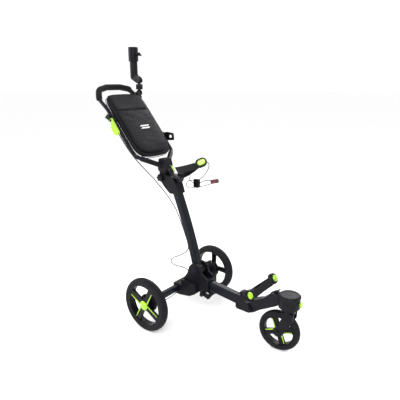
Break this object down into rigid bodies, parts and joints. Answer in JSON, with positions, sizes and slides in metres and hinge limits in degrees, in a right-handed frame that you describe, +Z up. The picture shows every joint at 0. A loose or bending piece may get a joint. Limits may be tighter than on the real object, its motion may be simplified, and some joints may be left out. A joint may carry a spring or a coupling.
{
  "type": "golf push trolley",
  "caption": "Folding three-wheeled golf push trolley with bag cradles, storage bag, umbrella holder and a swivelling front wheel.",
  "frame": {"origin": "middle of the trolley's bounding box, on the ground", "axes": "+X forwards in the direction of travel, +Y to the trolley's left, +Z up"},
  "size_m": [1.2295, 0.607, 1.415],
  "materials": {
    "tyre": "satin black moulded tyre",
    "wheel_plastic": "satin black moulded rim",
    "green_plastic": "lime green gloss",
    "frame_black": "satin black powder coat",
    "black_plastic": "fine-textured black moulding",
    "steel": "zinc-plated",
    "cable_black": "plain black cable jacket",
    "webbing": "ribbed grey-black elastic webbing",
    "bag_cloth": "black woven cloth",
    "grip_foam": "matt foam",
    "cord": "braided elastic cord",
    "red_plastic": "dark red"
  },
  "bodies": {
    "chassis": {"rear_axle": "frame_black", "axle_shafts": "steel", "axle_block": "black_plastic", "base_housing": "black_plastic", "base_pivot_pin": "frame_black", "front_hinge_pin": "frame_black", "front_tube": "frame_black", "front_knuckle": "black_plastic", "lower_cradle": "black_plastic", "lower_caps": "green_plastic", "lower_strap": "webbing", "brake_carriers": "black_plastic", "brake_cross_cables": "cable_black"},
    "wheel_right": {"tyre_right": "tyre", "rim_right": "wheel_plastic", "bearings_right": "steel", "rim_trim_right": "green_plastic", "hub_cap_right": "green_plastic"},
    "wheel_left": {"tyre_left": "tyre", "rim_left": "wheel_plastic", "bearings_left": "steel", "rim_trim_left": "green_plastic", "hub_cap_left": "green_plastic"},
    "brake_pin_right": {"brake_pin_right": "steel"},
    "brake_pin_left": {"brake_pin_left": "steel"},
    "fold_pedal": {"fold_pedal": "black_plastic"},
    "stem": {"stem_tube": "frame_black", "stem_foot": "black_plastic", "stem_head": "black_plastic", "upper_cradle": "black_plastic", "upper_caps": "green_plastic", "upper_strap": "webbing", "upper_hinge_pin": "frame_black", "brake_cable_lower": "cable_black", "bungee_cord": "cord", "cord_lock": "black_plastic", "bungee_toggle": "red_plastic"},
    "fold_knob": {"fold_knob": "black_plastic"},
    "handle": {"handle_frame": "frame_black", "handle_yoke": "black_plastic", "grip": "grip_foam", "storage_bag": "bag_cloth", "lever_bracket": "black_plastic", "accessory_bracket": "black_plastic", "umbrella_clamp": "black_plastic", "brake_cable_upper": "cable_black"},
    "brake_lever": {"brake_lever": "green_plastic"},
    "umbrella_link": {"umbrella_link": "black_plastic"},
    "umbrella_socket": {"umbrella_socket": "black_plastic"},
    "umbrella_knob": {"umbrella_knob": "black_plastic"},
    "front_arm": {"front_arm": "black_plastic", "caster_cover": "black_plastic"},
    "front_latch": {"front_latch": "black_plastic"},
    "swivel_lock": {"swivel_lock": "green_plastic"},
    "caster_fork": {"caster_fork": "black_plastic", "front_axle_bolt": "frame_black"},
    "front_wheel": {"tyre_front": "tyre", "rim_front": "wheel_plastic", "bearings_front": "steel", "rim_trim_front": "green_plastic"}
  },
  "joints": [
    {"name": "wheel_right_spin", "type": "hinge", "parent": "chassis", "child": "wheel_right", "pos_m": [-0.099, -0.2805, 0.14], "axis": [0, 1, 0], "continuous": true},
    {"name": "wheel_left_spin", "type": "hinge", "parent": "chassis", "child": "wheel_left", "pos_m": [-0.099, 0.2805, 0.14], "axis": [0, 1, 0], "continuous": true},
    {"name": "brake_lever_pull", "type": "hinge", "parent": "handle", "child": "brake_lever", "pos_m": [-0.4382, -0.16, 1.0372], "axis": [0, 1, 0], "range_deg": [0, 45]},
    {"name": "brake_pin_right_slide", "type": "slide", "parent": "chassis", "child": "brake_pin_right", "axis": [0, -1, 0], "range_m": [0, 0.0081]},
    {"name": "brake_pin_left_slide", "type": "slide", "parent": "chassis", "child": "brake_pin_left", "axis": [0, 1, 0], "range_m": [0, 0.0081]},
    {"name": "fold_pedal_press", "type": "hinge", "parent": "chassis", "child": "fold_pedal", "pos_m": [0.107, 0, 0.154], "axis": [0, 1, 0], "range_deg": [-20, 0], "stiffness_Nm_per_rad": 0.1, "springref_deg": 28.65},
    {"name": "stem_fold", "type": "hinge", "parent": "chassis", "child": "stem", "pos_m": [0.019, 0, 0.265], "axis": [0, 1, 0], "range_deg": [0, 85], "deforming": ["brake_cable_lower"]},
    {"name": "handle_fold", "type": "hinge", "parent": "stem", "child": "handle", "pos_m": [-0.217, 0, 0.738], "axis": [0, 1, 0], "range_deg": [-140, 0], "deforming": ["brake_cable_upper"]},
    {"name": "fold_knob_turn", "type": "hinge", "parent": "stem", "child": "fold_knob", "pos_m": [-0.217, -0.036, 0.738], "axis": [0, 1, 0], "range_deg": [0, 180]},
    {"name": "umbrella_link_tilt", "type": "hinge", "parent": "handle", "child": "umbrella_link", "pos_m": [-0.529, 0.132, 1.166], "axis": [0, 1, 0], "range_deg": [-15, 30]},
    {"name": "umbrella_socket_tilt", "type": "hinge", "parent": "umbrella_link", "child": "umbrella_socket", "pos_m": [-0.527, 0.132, 1.234], "axis": [0, 1, 0], "range_deg": [0, 90]},
    {"name": "umbrella_knob_turn", "type": "hinge", "parent": "umbrella_socket", "child": "umbrella_knob", "pos_m": [-0.539, 0.132, 1.376], "axis": [1, 0, 0], "range_deg": [0, 180]},
    {"name": "front_fold", "type": "hinge", "parent": "chassis", "child": "front_arm", "pos_m": [0.353, 0, 0.158], "axis": [0, 1, 0], "range_deg": [0, 120]},
    {"name": "front_latch_lift", "type": "hinge", "parent": "front_arm", "child": "front_latch", "pos_m": [0.462, 0, 0.272], "axis": [0, 1, 0], "range_deg": [-25, 0], "stiffness_Nm_per_rad": 0.05, "springref_deg": 17.19},
    {"name": "swivel_lock_slide", "type": "slide", "parent": "front_arm", "child": "swivel_lock", "axis": [-1, 0, 0], "range_m": [0, 0.0055]},
    {"name": "caster_swivel", "type": "hinge", "parent": "front_arm", "child": "caster_fork", "pos_m": [0.552, 0, 0.22], "axis": [0, 0, 1], "continuous": true},
    {"name": "front_wheel_spin", "type": "hinge", "parent": "caster_fork", "child": "front_wheel", "pos_m": [0.51191, -0.00499, 0.1013], "axis": [-0.1236, 0.9923, 0], "continuous": true}
  ],
  "couplings": [
    {"joint": "brake_pin_right_slide", "follows": "brake_lever_pull", "m_per_rad": 0.0103},
    {"joint": "brake_pin_left_slide", "follows": "brake_lever_pull", "m_per_rad": 0.0103}
  ]
}
